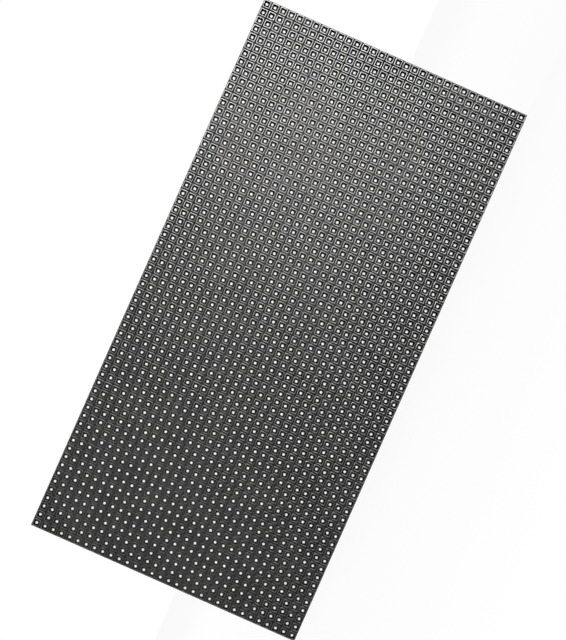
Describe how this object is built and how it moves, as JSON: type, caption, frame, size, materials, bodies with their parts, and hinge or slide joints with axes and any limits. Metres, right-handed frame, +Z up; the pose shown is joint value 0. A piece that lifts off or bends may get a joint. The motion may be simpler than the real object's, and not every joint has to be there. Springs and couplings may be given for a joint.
{
  "type": "rgb led matrix panel",
  "caption": "Flat rectangular lamp matrix panel with a square-windowed face mask, a lamp board and a ribbed rear frame with threaded inserts, magnet cups and plug sockets.",
  "frame": {"origin": "centre of the rear mounting plane, which is the rear edge of the frame's walls and the mouths of the four inserts", "axes": "+X along the panel, +Y out of the rear, +Z up; the lamps look towards -Y"},
  "size_m": [0.3198, 0.015, 0.1598],
  "materials": {
    "frame_plastic": "spark-textured black",
    "board": "black solder resist",
    "mask_plastic": "satin black",
    "lamp": "clear",
    "brass": "machined",
    "socket_plastic": "satin black",
    "power_plastic": "natural white",
    "tinned_pin": "bright",
    "chip": "moulded",
    "capacitor": "ceramic"
  },
  "bodies": {
    "root": {"buffer_1": "chip", "buffer_2": "chip", "capacitors": "capacitor", "circuit_board": "board", "driver_1": "chip", "driver_10": "chip", "driver_11": "chip", "driver_12": "chip", "driver_13": "chip", "driver_14": "chip", "driver_15": "chip", "driver_16": "chip", "driver_17": "chip", "driver_18": "chip", "driver_19": "chip", "driver_2": "chip", "driver_20": "chip", "driver_21": "chip", "driver_22": "chip", "driver_23": "chip", "driver_24": "chip", "driver_3": "chip", "driver_4": "chip", "driver_5": "chip", "driver_6": "chip", "driver_7": "chip", "driver_8": "chip", "driver_9": "chip", "face_mask": "mask_plastic", "input_pins": "tinned_pin", "input_socket": "socket_plastic", "insert_lower_left": "brass", "insert_lower_right": "brass", "insert_upper_left": "brass", "insert_upper_right": "brass", "lamp_rows": "lamp", "output_pins": "tinned_pin", "output_socket": "socket_plastic", "power_pins": "tinned_pin", "power_socket": "power_plastic", "rear_frame": "frame_plastic", "row_switch_1": "chip", "row_switch_2": "chip", "row_switch_3": "chip", "row_switch_4": "chip"}
  },
  "joints": []
}
